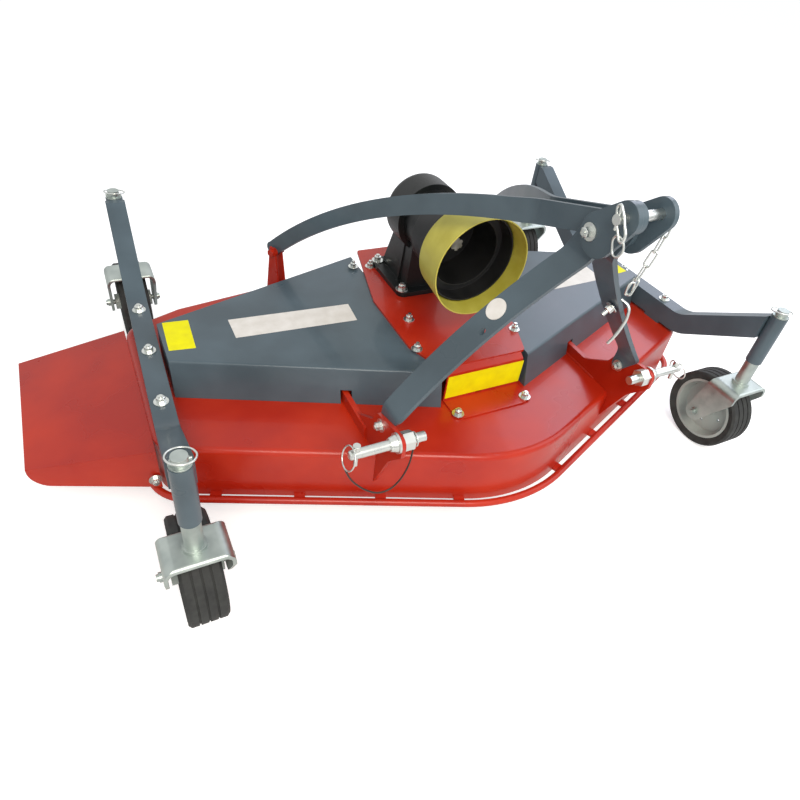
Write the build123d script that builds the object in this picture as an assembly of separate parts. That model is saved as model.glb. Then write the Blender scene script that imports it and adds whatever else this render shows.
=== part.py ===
from build123d import *
import math
import os

# Side-discharge finishing mower for a three-point hitch, on four swivelling casters.
# Millimetres. x runs across, y runs back from the lower hitch pins, z is up from the floor.

# Deck
deck_top = 257.0
deck_half_width = 800.0
wall_bottom = 108.0
deck_wall = 4.0
deck_bend_radius = 14.0
front_angle = 22.0
front_apex = -27.0
nose_radius = 370.0
corner_radius = 80.0
rear_corner_y = 742.0
# Rear corners of the plan, as distances in from the side and back from the rear corner
rear_shoulder_inset = (150.0, 61.0)
rear_centre_inset = (470.0, 116.0)
rear_radius = 60.0

# Guard bar round the lower front edge
rim_bar = 18.0
rim_gap = 12.0
rim_height = 115.0
rim_end_run = 8.0
rim_tab_width = 26.0
rim_tab_thickness = 8.0
rim_tabs_each_side = 4
rim_tab_first = 150.0
rim_tab_last_inset = 110.0

# Discharge chute
chute_bottom = 125.0
chute_reach = 267.0
chute_drop = 67.0
chute_front_y = 272.0
chute_rear_y = 751.0
chute_outer_front_y = 375.0
chute_outer_rear_y = 775.0
chute_sheet = 4.0
chute_corner = 42.0

# Belt covers
cover_top = 352.0
cover_sheet = 3.0
cover_end_gap = 3.0
cover_end_inset = 72.0
cover_front_y = 128.0
cover_lean = 22.0
cover_rear_y = 843.0
cover_rear_angle = 18.0
cover_rear_lean = 8.0
cover_bend_radius = 7.0

# Centre plate and apron
centre_plate_thickness = 6.0
centre_plate_outline = ((125.0, 214.0), (165.0, 320.0), (165.0, 540.0), (100.0, 815.0))
apron_half_width = 126.0
apron_face_y = 200.0
apron_top = 343.0
apron_bevel = 18.0
apron_foot_y = 122.0
apron_foot_half_width = 112.0
apron_foot_round = 30.0
apron_sheet = 4.0
apron_notch = (18.0, 16.0)
apron_notch_x = -8.0

# Gearbox and guard, along the PTO axis
pto_height = 566.0
gearbox_y = 635.0
flange_half = (90.0, 105.0)
flange_thickness = 14.0
flange_corner = 22.0
pedestal_foot = (60.0, 80.0)
pedestal_head = (50.0, 46.0)
pedestal_head_y = 602.0
body_radius = 80.0
body_front_y = 500.0
bell_radius = 96.0
bell_front_y = 575.0
bell_length = 66.0
bell_dome = 30.0
rib_thickness = 10.0
rib_foot = 66.0
nose_boss_radius = 34.0
nose_boss_length = 14.0
shaft_journal = 38.0
shaft_bore_depth = 60.0
shaft_end_y = 428.0
spline_outer = 34.9
spline_root = 29.0
spline_width = 8.6
spline_teeth = 6
running_clearance = 0.05
guard_front_y = 303.0
guard_rear_y = 404.0
guard_clearance = 79.0
guard_taper = 9.0
guard_wall = 3.0
inner_guard_step = 26.0
inner_guard_front_y = 386.0

# Side beams, caster posts
beam_width = 50.0
beam_height = 60.0
beam_bottom = 265.0
beam_bend_front_y = 245.0
beam_bend_rear_y = 772.0
arm_angle = 31.7
beam_bend_radius = 90.0
beam_pad_length = 60.0
beam_bolt_y = (338.0, 530.0, 712.0)
front_post_inset = 25.2
rear_post_inset = 54.0
front_post_y = -8.0
rear_post_y = 1054.0
post_tube = 44.0
post_butt_share = 0.45
post_bottom = 332.0
post_top = 482.0

# Casters
spindle = 30.0
sleeve = 38.0
sleeve_foot = (24.0, 10.0)
crown_top = 250.0
crown_width = 136.0
crown_length = 92.0
crown_round = (40.0, 8.0)
fork_plate = 8.0
fork_bend_radius = 24.0
fork_eye_radius = 28.0
caster_trail = 46.0
wheel_radius = 118.0
wheel_width = 84.0
tyre_shoulder = 6.0
tyre_grooves = 3
tyre_groove = (4.0, 3.0)
rim_radius = 94.0
rim_width = 66.0
rim_web = 8.0
rim_lip = 8.0
rim_holes = 5
rim_hole = 9.0
rim_hole_circle = 104.0
hub_radius = 24.0
hub_length = 108.0
axle = 16.0
axle_head = (11.0, 8.0)
axle_stub = 5.0
spindle_rise = 20.0
washer = (20.5, 3.0)
seat_gap = 0.3
linch_wire = 5.0
linch_wire_drop = 11.0

# Hitch
lower_pin_height = 379.0
lower_pin = 22.0
lower_pin_end = 460.0
lower_tip = 21.0
lower_tip_start = 435.0
lower_tip_chamfer = 3.0
lower_plate_inner = 342.0
lower_plate_thickness = 9.0
# Collar on the lower pin: a disc, then a neck that narrows to the second radius
lower_collar_disc = (23.0, 5.0)
lower_collar_neck = (19.0, 14.5)
lower_collar_length = 20.0
lower_thread = 22.0
lower_thread_end = 288.0
lower_nut = (22.0, 24.0)
linch_place = 444.0
linch_pin = 9.5
linch_head = 16.0
linch_depth = 34.0
linch_seat = 11.5
linch_head_length = 12.5
linch_chamfer = 2.0
linch_ring_radius = 26.0
linch_ring_wire = 3.5
linch_ring_droop = 72.0

# Lanyard that keeps the left linch pin, drawn for the right-hand side
lanyard = 4.0
lanyard_eye_x = 311.0
lanyard_eye_radius = 15.0
lanyard_eye_wire = 3.5
lanyard_ferrule = (4.0, 12.0)
# x and z of each bend, from the linch pin's ring to the eye on the threaded end
lanyard_route = (
    (467.4, 345.3), (457.0, 313.0), (436.0, 280.0), (411.0, 252.0), (382.0, 230.0), (350.0, 232.0),
    (328.0, 258.0), (316.0, 290.0), (311.0, 322.0), (311.0, 349.0))

# Mast, legs and arches
tail_length_y = 290.0
tail_start_y = 148.0
tail_thickness = 14.0
tail_height = 31.0
tail_clearance = 6.0
mast_pin_y = -99.0
mast_pin_height = 890.0
mast_pin = 19.0
mast_pin_ends = (20.0, 12.0)
mast_pin_head = (14.5, 10.0)
mast_plate_inner = 35.0
mast_plate_thickness = 10.0
mast_eye_radius = 29.0
mast_lobe = (-50.0, 836.0)
mast_lobe_radius = 41.0
# Boss on the inner face of the left-hand plate: diameter and length
mast_boss = (55.0, 13.0)
mast_bolt = (-36.0, 835.0)
leg_width = 68.0
leg_thickness = 10.0
leg_bend_top = 776.0
leg_bend_low = 400.0
leg_foot = 300.0
leg_bend_radius = 40.0
leg_middle = (40.0, 620.0)
leg_shoulder = (64.0, 412.0)
leg_tip = (86.0, 357.0)
leg_tip_radius = 17.0
leg_hole = (30.0, 604.0)
leg_hole_size = 13.0
arch_thickness = 9.0
arch_bend_y = 150.0
arch_bend_radius = 60.0
# Upper and lower edge of the arch seen from the side: a curve through three points, then straight to the last
arch_upper = ((848.0, 404.0), (487.0, 681.0), (200.0, 797.0), (-28.0, 872.0))
arch_lower = ((830.0, 368.0), (459.0, 646.0), (163.0, 756.0), (-14.0, 820.0))
arch_rear_round = (856.0, 377.5)
arch_front_round = (-64.0, 844.0)
arch_foot = (831.0, 380.0)
arch_foot_x = 351.6
clevis_width = 30.0
clevis_sheet = 5.0
clevis_rise = 16.0
clevis_foot_half = 26.0
clevis_head_half = 10.0
clevis_bolt = 16.0
clevis_bolt_head = (12.0, 8.0)
clevis_spacer = 26.0

# Cutting gear
side_spindle_inset = 300.0
side_spindle_y = 452.0
centre_spindle_y = 252.0
blade_radius = 260.0
blade_width = 58.0
blade_thickness = 6.0
blade_top = 165.0
blade_wing = (110.0, 24.0, 28.0)
housing_flange = (150.0, 8.0)
housing_barrel = 92.0
housing_bottom = 188.0
blade_shaft = 32.0
blade_hub = (76.0, 20.0)
blade_nut = (16.0, 12.0)
shaft_bore_roof = 10.0

# Longer than the machine, for outlines and cuts that pass right through
through = 2000.0

# Places that follow from the sizes above
front_slope = math.tan(math.radians(front_angle))
front_cos = math.cos(math.radians(front_angle))
nose_y = front_apex - nose_radius * (1 / front_cos - 1)
rear_shoulder = (deck_half_width - rear_shoulder_inset[0], rear_corner_y + rear_shoulder_inset[1])
rear_centre = (deck_half_width - rear_centre_inset[0], rear_corner_y + rear_centre_inset[1])
rim_offset = rim_gap + rim_bar / 2
cover_inner_end = apron_half_width + cover_end_gap
cover_outer_end = deck_half_width - cover_end_inset
centre_plate_top = cover_top + centre_plate_thickness
flange_top = centre_plate_top + flange_thickness
guard_front_radius = pto_height - centre_plate_top - guard_clearance
guard_rear_radius = guard_front_radius - guard_taper
inner_guard_radius = guard_rear_radius - inner_guard_step
front_post = (deck_half_width - front_post_inset, front_post_y)
rear_post = (deck_half_width - rear_post_inset, rear_post_y)
side_spindle = (deck_half_width - side_spindle_inset, side_spindle_y)
arm_rise = math.tan(math.radians(arm_angle))
lower_plate_outer = lower_plate_inner + lower_plate_thickness
mast_plate_outer = mast_plate_inner + mast_plate_thickness
arch_top_x = mast_plate_inner - leg_thickness - arch_thickness / 2
arch_angle = math.degrees(math.atan2(arch_foot_x - arch_top_x, arch_foot[0] - arch_bend_y))
toe_angle = math.degrees(math.atan2(front_post[0] - rear_post[0], rear_post[1] - front_post[1]))


def rounded(points, radii):
    """Closed outline whose corners are rounded where a radius is given."""
    face = make_face(Polyline(*points, close=True))
    for point, radius in zip(points, radii):
        if radius:
            corner = face.vertices().sort_by_distance(point)[0]
            face = fillet(corner, radius)
    return face


def band(points, width):
    """Closed outline of a strip of even width that follows an open run of points."""
    left = []
    right = []
    for i, (u, v) in enumerate(points):
        normals = []
        for a, b in ((i - 1, i), (i, i + 1)):
            if a >= 0 and b < len(points):
                du = points[b][0] - points[a][0]
                dv = points[b][1] - points[a][1]
                size = math.hypot(du, dv)
                normals.append((-dv / size, du / size))
        nu = sum(n[0] for n in normals) / len(normals)
        nv = sum(n[1] for n in normals) / len(normals)
        scale = width / 2 / (nu * nu + nv * nv)
        left.append((u + nu * scale, v + nv * scale))
        right.append((u - nu * scale, v - nv * scale))
    return left + right[::-1]


def across(face, x, thickness):
    """Plate in the fore-and-aft plane, from x outwards along +x."""
    return Pos(x, 0, 0) * extrude(Plane.YZ * face, thickness)


def upright(radius, x, y, low, high):
    return Pos(x, y, (low + high) / 2) * Cylinder(radius, high - low)


def lengthwise(radius, x, z, front, rear):
    return Pos(x, (front + rear) / 2, z) * Rot(90, 0, 0) * Cylinder(radius, rear - front)


def crosswise(radius, y, z, left, right):
    return Pos((left + right) / 2, y, z) * Rot(0, 90, 0) * Cylinder(radius, right - left)


def mirrored(part):
    return mirror(part, about=Plane.YZ)


def deck_outline(grow=0.0):
    """Plan of the deck, grown outwards by the given distance."""
    half = deck_half_width + grow
    nose = nose_y - grow / front_cos
    right = [
        (half, nose + front_slope * half),
        (half, rear_corner_y),
        (rear_shoulder[0], rear_shoulder[1] + grow),
        (rear_centre[0], rear_centre[1] + grow),
    ]
    left = [(-x, y) for x, y in reversed(right)]
    radii = [nose_radius + grow, corner_radius + grow, rear_radius, rear_radius, rear_radius]
    return rounded([(0, nose)] + right + left, radii + radii[:0:-1])


def make_deck():
    outer = extrude(Pos(0, 0, wall_bottom) * deck_outline(), deck_top - wall_bottom)
    outer = fillet(outer.faces().sort_by(Axis.Z)[-1].edges(), deck_bend_radius)
    inner = extrude(Pos(0, 0, wall_bottom) * deck_outline(-deck_wall), deck_top - deck_wall - wall_bottom)
    inner = fillet(inner.faces().sort_by(Axis.Z)[-1].edges(), deck_bend_radius - deck_wall)
    mouth_low = wall_bottom
    mouth_high = deck_top - deck_bend_radius - chute_sheet
    mouth = Pos(-deck_half_width, (chute_front_y + chute_rear_y) / 2, (mouth_low + mouth_high) / 2) * Box(
        4 * deck_wall, chute_rear_y - chute_front_y - 2 * corner_radius, mouth_high - mouth_low)
    return outer, outer - inner - mouth


def make_rim():
    half = deck_half_width + rim_offset
    nose = nose_y - rim_offset / front_cos
    corner_y = nose + front_slope * half
    corner = corner_radius + rim_offset
    end_y = corner_y + corner * math.tan(math.radians(45 - front_angle / 2)) + rim_end_run
    points = [(-half, end_y), (-half, corner_y), (0, nose), (half, corner_y), (half, end_y)]
    radii = [corner, nose_radius + rim_offset, corner]
    path = Pos(0, 0, rim_height) * FilletPolyline(*points, radius=radii)
    bar = sweep(Plane(origin=path @ 0, z_dir=path % 0) * Circle(rim_bar / 2), path=path)
    step = (deck_half_width - rim_tab_last_inset - rim_tab_first) / (rim_tabs_each_side - 1)
    tab = Pos(0, -rim_offset / 2, rim_height) * Box(rim_tab_width, rim_offset, rim_tab_thickness)
    for side in (-1, 1):
        for i in range(rim_tabs_each_side):
            place = rim_tab_first + i * step
            wall_y = nose_y + front_slope * place
            bar += Pos(side * place, wall_y, 0) * Rot(0, 0, side * front_angle) * tab
    return bar


def make_chute():
    inner_x = -deck_half_width
    outer_x = inner_x - chute_reach
    outer_top = deck_top - deck_bend_radius - chute_drop

    def shell(sheet):
        top = deck_top - deck_bend_radius - sheet
        profile = [(inner_x, top), (outer_x, top - chute_drop), (outer_x, chute_bottom), (inner_x, chute_bottom)]
        side = extrude(Plane.XZ * rounded(profile, (0, 0, chute_corner, 0)), -through)
        plan = [
            (inner_x, chute_front_y + sheet), (outer_x, chute_outer_front_y + sheet),
            (outer_x, chute_outer_rear_y - sheet), (inner_x, chute_rear_y - sheet)]
        return side & extrude(make_face(Polyline(*plan, close=True)), outer_top + deck_top)

    def core(sheet):
        top = deck_top - deck_bend_radius - sheet
        profile = [
            (inner_x + 1, top), (outer_x - 1, top - chute_drop),
            (outer_x - 1, chute_bottom - 1), (inner_x + 1, chute_bottom - 1)]
        side = extrude(Plane.XZ * make_face(Polyline(*profile, close=True)), -through)
        plan = [
            (inner_x + 1, chute_front_y + sheet), (outer_x - 1, chute_outer_front_y + sheet),
            (outer_x - 1, chute_outer_rear_y - sheet), (inner_x + 1, chute_rear_y - sheet)]
        return side & extrude(make_face(Polyline(*plan, close=True)), outer_top + deck_top)

    return shell(0) - core(chute_sheet)


def make_cover():
    rear_slope = math.tan(math.radians(cover_rear_angle))

    def block(inset, low, high):
        def section(z, lean, rear_lean):
            x0 = cover_inner_end + inset
            x1 = cover_outer_end - inset
            front = cover_front_y + lean + inset
            rear = cover_rear_y - rear_lean - inset
            return Pos(0, 0, z) * make_face(Polyline(
                (x0, front + front_slope * x0), (x1, front + front_slope * x1),
                (x1, rear - rear_slope * x1), (x0, rear - rear_slope * x0), close=True))
        return loft([section(low, 0, 0), section(high, cover_lean, cover_rear_lean)])

    outer = block(0, deck_top, cover_top)
    front_edge = outer.faces().sort_by(Axis.Z)[-1].edges().sort_by(Axis.Y)[0]
    outer = fillet(front_edge, cover_bend_radius)
    cover = outer - block(cover_sheet, deck_top - 1, cover_top - cover_sheet)
    notch_width = tail_thickness + 2 * tail_clearance
    notch = Box(notch_width, tail_length_y - tail_start_y, 2 * (tail_height + tail_clearance))
    return cover - Pos(lower_plate_inner + tail_thickness / 2, tail_length_y - tail_clearance, deck_top) * notch


def make_centre_plate():
    right = list(centre_plate_outline)
    left = [(-x, y) for x, y in reversed(right)]
    face = rounded(right + left, [12] * len(right + left))
    plate = extrude(Pos(0, 0, cover_top) * face, centre_plate_thickness)
    run = [
        (apron_face_y + apron_bevel, cover_top + apron_sheet / 2),
        (apron_face_y, apron_top), (apron_face_y, deck_top + apron_sheet / 2),
        (apron_foot_y, deck_top + apron_sheet / 2)]
    profile = make_face(Polyline(*band(run, apron_sheet), close=True))
    apron = across(profile, -apron_half_width, 2 * apron_half_width)
    foot = [
        (-apron_foot_half_width, apron_foot_y), (apron_foot_half_width, apron_foot_y),
        (apron_half_width, cover_rear_y), (-apron_half_width, cover_rear_y)]
    apron &= extrude(rounded(foot, (apron_foot_round, apron_foot_round, 0, 0)), cover_top + apron_sheet)
    notch = Pos(apron_notch_x, apron_face_y, deck_top + apron_sheet + apron_notch[1] / 2) * Box(
        apron_notch[0], 3 * apron_sheet, apron_notch[1])
    plate = plate + apron - notch
    return plate


def make_gearbox():
    base = extrude(Pos(0, gearbox_y, centre_plate_top) * RectangleRounded(
        2 * flange_half[0], 2 * flange_half[1], flange_corner), flange_thickness)
    foot = Pos(0, gearbox_y, flange_top) * Rectangle(2 * pedestal_foot[0], 2 * pedestal_foot[1])
    head = Pos(0, pedestal_head_y, pto_height) * Rectangle(2 * pedestal_head[0], 2 * pedestal_head[1])
    pedestal = loft([foot, head])
    body = lengthwise(body_radius, 0, pto_height, body_front_y, bell_front_y)
    bell = lengthwise(bell_radius, 0, pto_height, bell_front_y, bell_front_y + bell_length)
    rear = lengthwise(bell_radius, 0, pto_height, bell_front_y + bell_length,
                      bell_front_y + bell_length + bell_dome)
    rear = fillet(rear.faces().sort_by(Axis.Y)[-1].edges(), bell_dome - 2)
    nose = lengthwise(nose_boss_radius, 0, pto_height, body_front_y - nose_boss_length, body_front_y)
    box = base + pedestal + body + bell + rear + nose
    for side in (-1, 1):
        rib = [
            (side * rib_foot, flange_top), (side * pedestal_head[0], pto_height),
            (0, pto_height), (0, flange_top)]
        rib = extrude(Plane.XZ * make_face(Polyline(*rib, close=True)), rib_thickness / 2, both=True)
        box += Pos(0, pedestal_head_y, 0) * rib
    bore = lengthwise(shaft_journal / 2 + running_clearance, 0, pto_height,
                      body_front_y - 2 * nose_boss_length, body_front_y + shaft_bore_depth)
    return box - bore


def make_pto_shaft():
    journal_front = body_front_y - nose_boss_length
    journal = lengthwise(shaft_journal / 2, 0, pto_height, journal_front,
                         body_front_y + shaft_bore_depth - seat_gap)
    spline_front = shaft_end_y
    stub = lengthwise(spline_root / 2, 0, pto_height, spline_front, journal_front)
    for i in range(spline_teeth):
        tooth = Pos(0, 0, spline_outer / 4 + spline_root / 8) * Box(
            spline_width, journal_front - spline_front, spline_outer / 2 - spline_root / 4)
        turn = Rot(0, 360 / spline_teeth * i, 0)
        tooth = Pos(0, (spline_front + journal_front) / 2, pto_height) * turn * tooth
        stub += tooth
    limit = lengthwise(spline_outer / 2, 0, pto_height, spline_front, journal_front)
    return journal + (stub & limit)


def make_guard():
    profile = Polyline(
        (guard_front_radius, guard_front_y), (guard_rear_radius, guard_rear_y),
        (guard_rear_radius - guard_wall, guard_rear_y), (guard_front_radius - guard_wall, guard_front_y),
        close=True)
    return Pos(0, 0, pto_height) * revolve(make_face(profile), Axis.Y)


def make_inner_guard():
    tube = lengthwise(inner_guard_radius, 0, pto_height, inner_guard_front_y, body_front_y)
    disc = lengthwise(guard_rear_radius, 0, pto_height, guard_rear_y, guard_rear_y + guard_wall)
    hollow = lengthwise(inner_guard_radius - guard_wall, 0, pto_height,
                        inner_guard_front_y - 1, body_front_y - guard_wall)
    passage = lengthwise(body_radius - 2 * rib_thickness, 0, pto_height,
                         inner_guard_front_y - 1, body_front_y + 1)
    return tube + disc - hollow - passage


def make_beam():
    """Right-hand beam in its own plane, then toed in about the front post."""
    front = front_post[1]
    rear = front + math.hypot(front_post[0] - rear_post[0], rear_post[1] - front)
    middle = beam_bottom + beam_height / 2
    butt = post_tube * post_butt_share
    run = [
        (front, middle + arm_rise * (beam_bend_front_y - front)),
        (beam_bend_front_y, middle), (beam_bend_rear_y, middle),
        (rear, middle + arm_rise * (rear - beam_bend_rear_y))]
    outline = band(run, beam_height)
    radii = [0, beam_bend_radius, beam_bend_radius, 0, 0,
             beam_bend_radius + beam_height / 2, beam_bend_radius + beam_height / 2, 0]
    tube = across(rounded(outline, radii), -beam_width / 2, beam_width)
    beam = tube & Pos(0, (front + rear) / 2, 0) * Box(through, rear - front - 2 * butt, through)
    for y in (front, rear):
        beam += upright(post_tube / 2, 0, y, post_bottom, post_top)
    for y in (front, rear):
        beam -= upright(spindle / 2 + running_clearance, 0, y, post_bottom - 1, post_top + beam_height)
        beam -= Pos(0, y, post_top + beam_height / 2) * Box(4 * post_tube, 4 * post_tube, beam_height)
    for y in beam_bolt_y:
        beam += Pos(0, y, (deck_top + beam_bottom) / 2) * Box(
            beam_width, beam_pad_length, beam_bottom - deck_top)
    toe = Pos(front_post[0], front, 0) * Rot(0, 0, toe_angle) * Pos(0, -front, 0)
    return toe * beam


def make_fork(turn_to=0.0):
    """Fork about its own swivel axis at the origin, standing on the floor plane."""
    half = crown_width / 2
    section = [
        (-half, crown_top), (half, crown_top), (half, 0), (half - fork_plate, 0),
        (half - fork_plate, crown_top - fork_plate), (-half + fork_plate, crown_top - fork_plate),
        (-half + fork_plate, 0), (-half, 0)]
    inner = fork_bend_radius - fork_plate
    bent = extrude(Plane.XZ * rounded(
        section, (fork_bend_radius, fork_bend_radius, 0, 0, inner, inner, 0, 0)), through, both=True)
    top_strip = Pos(0, crown_top - crown_round[0] / 2) * RectangleRounded(crown_length, *crown_round)
    eye = Pos(caster_trail, wheel_radius) * Circle(fork_eye_radius)
    side = make_hull((top_strip + eye).edges())
    fork = bent & across(side, -crown_width, 2 * crown_width)
    fork = fork & Pos(0, 0, crown_top / 2) * Box(through, through, crown_top)
    top_of_spindle = post_top + spindle_rise
    fork += upright(sleeve / 2, 0, 0, crown_top, post_bottom - seat_gap)
    fork += upright(sleeve_foot[0], 0, 0, crown_top, crown_top + sleeve_foot[1])
    fork += upright(spindle / 2, 0, 0, crown_top, top_of_spindle)
    reach = half + axle_head[1]
    fork += crosswise(axle / 2, caster_trail, wheel_radius, -reach - axle_stub, reach + axle_stub)
    fork += crosswise(axle_head[0], caster_trail, wheel_radius, -reach, fork_plate - half)
    fork += crosswise(axle_head[0], caster_trail, wheel_radius, half - fork_plate, reach)
    fork += upright(washer[0], 0, 0, post_top + seat_gap, post_top + seat_gap + washer[1])
    fork += crosswise(linch_wire / 2, 0, top_of_spindle - linch_wire_drop, -washer[0], washer[0])
    return fork


def make_rim_wheel():
    half = rim_width / 2
    bore = axle / 2 + running_clearance
    lip = rim_radius - rim_lip
    root = lip - rim_lip
    profile = [
        (bore, -hub_length / 2), (hub_radius, -hub_length / 2), (hub_radius, -rim_web / 2),
        (root, -rim_web / 2), (lip, -half), (rim_radius, -half), (rim_radius, half),
        (lip, half), (root, rim_web / 2), (hub_radius, rim_web / 2),
        (hub_radius, hub_length / 2), (bore, hub_length / 2)]
    wheel = revolve(Plane.XZ * make_face(Polyline(*profile, close=True)), Axis.Z)
    hole = Cylinder(rim_hole / 2, 2 * rim_web)
    for i in range(rim_holes):
        wheel -= Rot(0, 0, 360 / rim_holes * i) * Pos(rim_hole_circle / 2, 0, 0) * hole
    return Rot(0, 90, 0) * wheel


def make_tyre():
    half = wheel_width / 2
    inner = rim_radius
    groove_width, groove_depth = tyre_groove
    floor = wheel_radius - groove_depth
    land = (wheel_width - 2 * tyre_shoulder - tyre_grooves * groove_width) / (tyre_grooves + 1)
    at = -half + tyre_shoulder
    profile = [(inner, -rim_width / 2), (wheel_radius - tyre_shoulder, -half), (wheel_radius, at)]
    for _ in range(tyre_grooves):
        start = at + land
        at = start + groove_width
        profile += [(wheel_radius, start), (floor, start), (floor, at), (wheel_radius, at)]
    profile += [(wheel_radius, half - tyre_shoulder), (wheel_radius - tyre_shoulder, half), (inner, rim_width / 2)]
    return Rot(0, 90, 0) * revolve(Plane.XZ * make_face(Polyline(*profile, close=True)), Axis.Z)


def make_leg():
    """Right-hand front leg: flat bar bent outwards, and bowed forwards at its head."""
    top_x = mast_plate_inner - leg_thickness / 2
    low_x = lower_plate_inner - leg_thickness / 2
    run = [
        (top_x, mast_bolt[1] + leg_width), (top_x, leg_bend_top),
        (low_x, leg_bend_low), (low_x, leg_foot)]
    bend = leg_bend_radius
    face = rounded(band(run, leg_thickness), (0, bend, bend, 0, 0, bend, bend, 0))
    bent = extrude(Plane.XZ * face, through, both=True)
    half = leg_width / 2
    bow = [mast_bolt, leg_middle, leg_shoulder]
    front = [(y - half, z) for y, z in bow]
    rear = [(y + half, z) for y, z in bow]
    edges = [ThreePointArc(*front), Line(front[2], rear[2]), ThreePointArc(*rear[::-1]), Line(rear[0], front[0])]
    foot = Pos(*leg_shoulder) * Circle(half) + Pos(*leg_tip) * Circle(leg_tip_radius)
    side = make_face(edges) + Pos(*mast_bolt) * Circle(half) + make_hull(foot.edges())
    leg = bent & across(side, 0, through)
    return leg - crosswise(leg_hole_size / 2, *leg_hole, 0, through)


def make_arch():
    """Right-hand rear arch: flat bar that rises from the rear post to the mast."""
    slope = math.tan(math.radians(arch_angle))
    beyond = 2 * arch_foot[0]
    run = [(arch_top_x, -beyond), (arch_top_x, arch_bend_y), (arch_top_x + slope * (beyond - arch_bend_y), beyond)]
    face = rounded(band(run, arch_thickness), (0, arch_bend_radius, 0, 0, arch_bend_radius, 0))
    bent = extrude(face, through)
    rear_end = ThreePointArc(arch_lower[0], arch_rear_round, arch_upper[0])
    front_end = ThreePointArc(arch_upper[3], arch_front_round, arch_lower[3])
    upper = [ThreePointArc(*arch_upper[:3]), Line(*arch_upper[2:])]
    lower = [Line(arch_lower[3], arch_lower[2]), ThreePointArc(*arch_lower[2::-1])]
    arch = bent & across(make_face(upper + [front_end] + lower + [rear_end]), 0, through)
    return arch - place_foot(crosswise(clevis_bolt / 2 + running_clearance, 0, 0, -clevis_width, clevis_width))


def place_foot(part):
    """Puts a part drawn about the arch's foot bolt in its place, in line with the arch."""
    return Pos(arch_foot_x, *arch_foot) * Rot(0, 0, -arch_angle) * part


def make_mast_plate():
    """Right-hand mast plate."""
    around_pin = Pos(mast_pin_y, mast_pin_height) * Circle(mast_eye_radius)
    around_bolt = Pos(*mast_lobe) * Circle(mast_lobe_radius)
    face = make_hull((around_pin + around_bolt).edges())
    plate = across(face, mast_plate_inner, mast_plate_thickness)
    return plate - crosswise(mast_pin / 2 + running_clearance, mast_pin_y, mast_pin_height, 0, through)


def make_mast_boss():
    """Boss that takes up the play of the top link, on the left-hand plate."""
    diameter, length = mast_boss
    ends = (mast_pin_y, mast_pin_height, -mast_plate_inner, length - mast_plate_inner)
    return crosswise(diameter / 2, *ends) - crosswise(mast_pin / 2 + running_clearance, *ends)


def make_top_pin():
    left_end, right_end = mast_pin_ends
    head_radius, head_length = mast_pin_head
    pin = crosswise(mast_pin / 2, mast_pin_y, mast_pin_height, -mast_plate_outer - left_end,
                    mast_plate_outer + right_end)
    return pin + crosswise(head_radius, mast_pin_y, mast_pin_height, mast_plate_outer + seat_gap,
                           mast_plate_outer + head_length)


def make_hitch_plate(deck_solid):
    """Right-hand lower hitch plate, over the deck's front edge, with a tail back under the cover."""
    z = lower_pin_height
    tail_top = deck_top + tail_height
    # Points as y, z and corner radius: nose, top edge, tail, foot on the deck, lower front edge
    table = [
        (-22, z - 26, 16), (-22, z + 21, 18), (30, z + 15, 30), (104, z - 7, 10), (124, z - 43, 30),
        (196, tail_top, 40), (tail_length_y, tail_top, 4), (tail_length_y, deck_top, 0),
        (110, deck_top, 0), (110, 165, 0), (86, 165, 0), (28, z - 84, 60)]
    face = rounded([row[:2] for row in table], [row[2] for row in table])
    plate = across(face, lower_plate_inner, lower_plate_thickness)
    tail = make_face(Polyline(
        (lower_plate_outer, tail_start_y), (lower_plate_inner + tail_thickness, tail_start_y),
        (lower_plate_inner + tail_thickness, tail_length_y), (lower_plate_inner, tail_length_y),
        (lower_plate_inner, tail_length_y - tail_thickness), (lower_plate_outer, tail_start_y + tail_thickness),
        close=True))
    plate += extrude(Pos(0, 0, deck_top) * tail, tail_height)
    plate -= crosswise(lower_thread / 2 + running_clearance, 0, z, 0, through)
    return plate - deck_solid


def make_lower_pin():
    """Right-hand lower pin with its collar, turned tip, threaded end and nut."""
    z = lower_pin_height
    disc_radius, disc_length = lower_collar_disc
    neck_start, neck_end = lower_collar_neck
    collar_end = lower_plate_outer + lower_collar_length
    neck = Polyline(
        (lower_plate_outer, 0), (lower_plate_outer, disc_radius), (lower_plate_outer + disc_length, disc_radius),
        (lower_plate_outer + disc_length, neck_start), (collar_end, neck_end), (collar_end, 0), close=True)
    collar = Pos(0, 0, z) * revolve(Plane.XZ * make_face(neck), Axis.X)
    tip = crosswise(lower_tip / 2, 0, z, lower_tip_start, lower_pin_end)
    tip = chamfer(tip.faces().sort_by(Axis.X)[-1].edges(), lower_tip_chamfer)
    pin = collar + crosswise(lower_pin / 2, 0, z, lower_plate_outer, lower_tip_start) + tip
    pin += crosswise(lower_thread / 2, 0, z, lower_thread_end, lower_plate_outer)
    nut = extrude(RegularPolygon(lower_nut[0], 6), lower_nut[1])
    pin += Pos(lower_plate_inner, 0, z) * Rot(0, -90, 0) * nut
    return pin - upright(linch_pin / 2 + running_clearance, linch_place, 0, z - lower_pin, z + lower_pin)


def make_linch():
    """Right-hand linch pin: round pin through the lower pin, with a head and a spring ring."""
    seat = lower_pin_height + linch_seat
    pin = upright(linch_pin / 2, linch_place, 0, lower_pin_height - linch_depth, seat)
    pin = chamfer(pin.faces().sort_by(Axis.Z)[0].edges(), linch_chamfer)
    pin += upright(linch_head / 2, linch_place, 0, seat, seat + linch_head_length)
    droop = math.radians(linch_ring_droop)
    ring_x = linch_place + linch_head / 2 + linch_ring_radius * math.cos(droop)
    ring_z = seat + linch_head_length / 2 - linch_ring_radius * math.sin(droop)
    ring = Torus(linch_ring_radius, linch_ring_wire / 2)
    return pin + Pos(ring_x, 0, ring_z) * Rot(0, linch_ring_droop, 0) * ring


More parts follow.
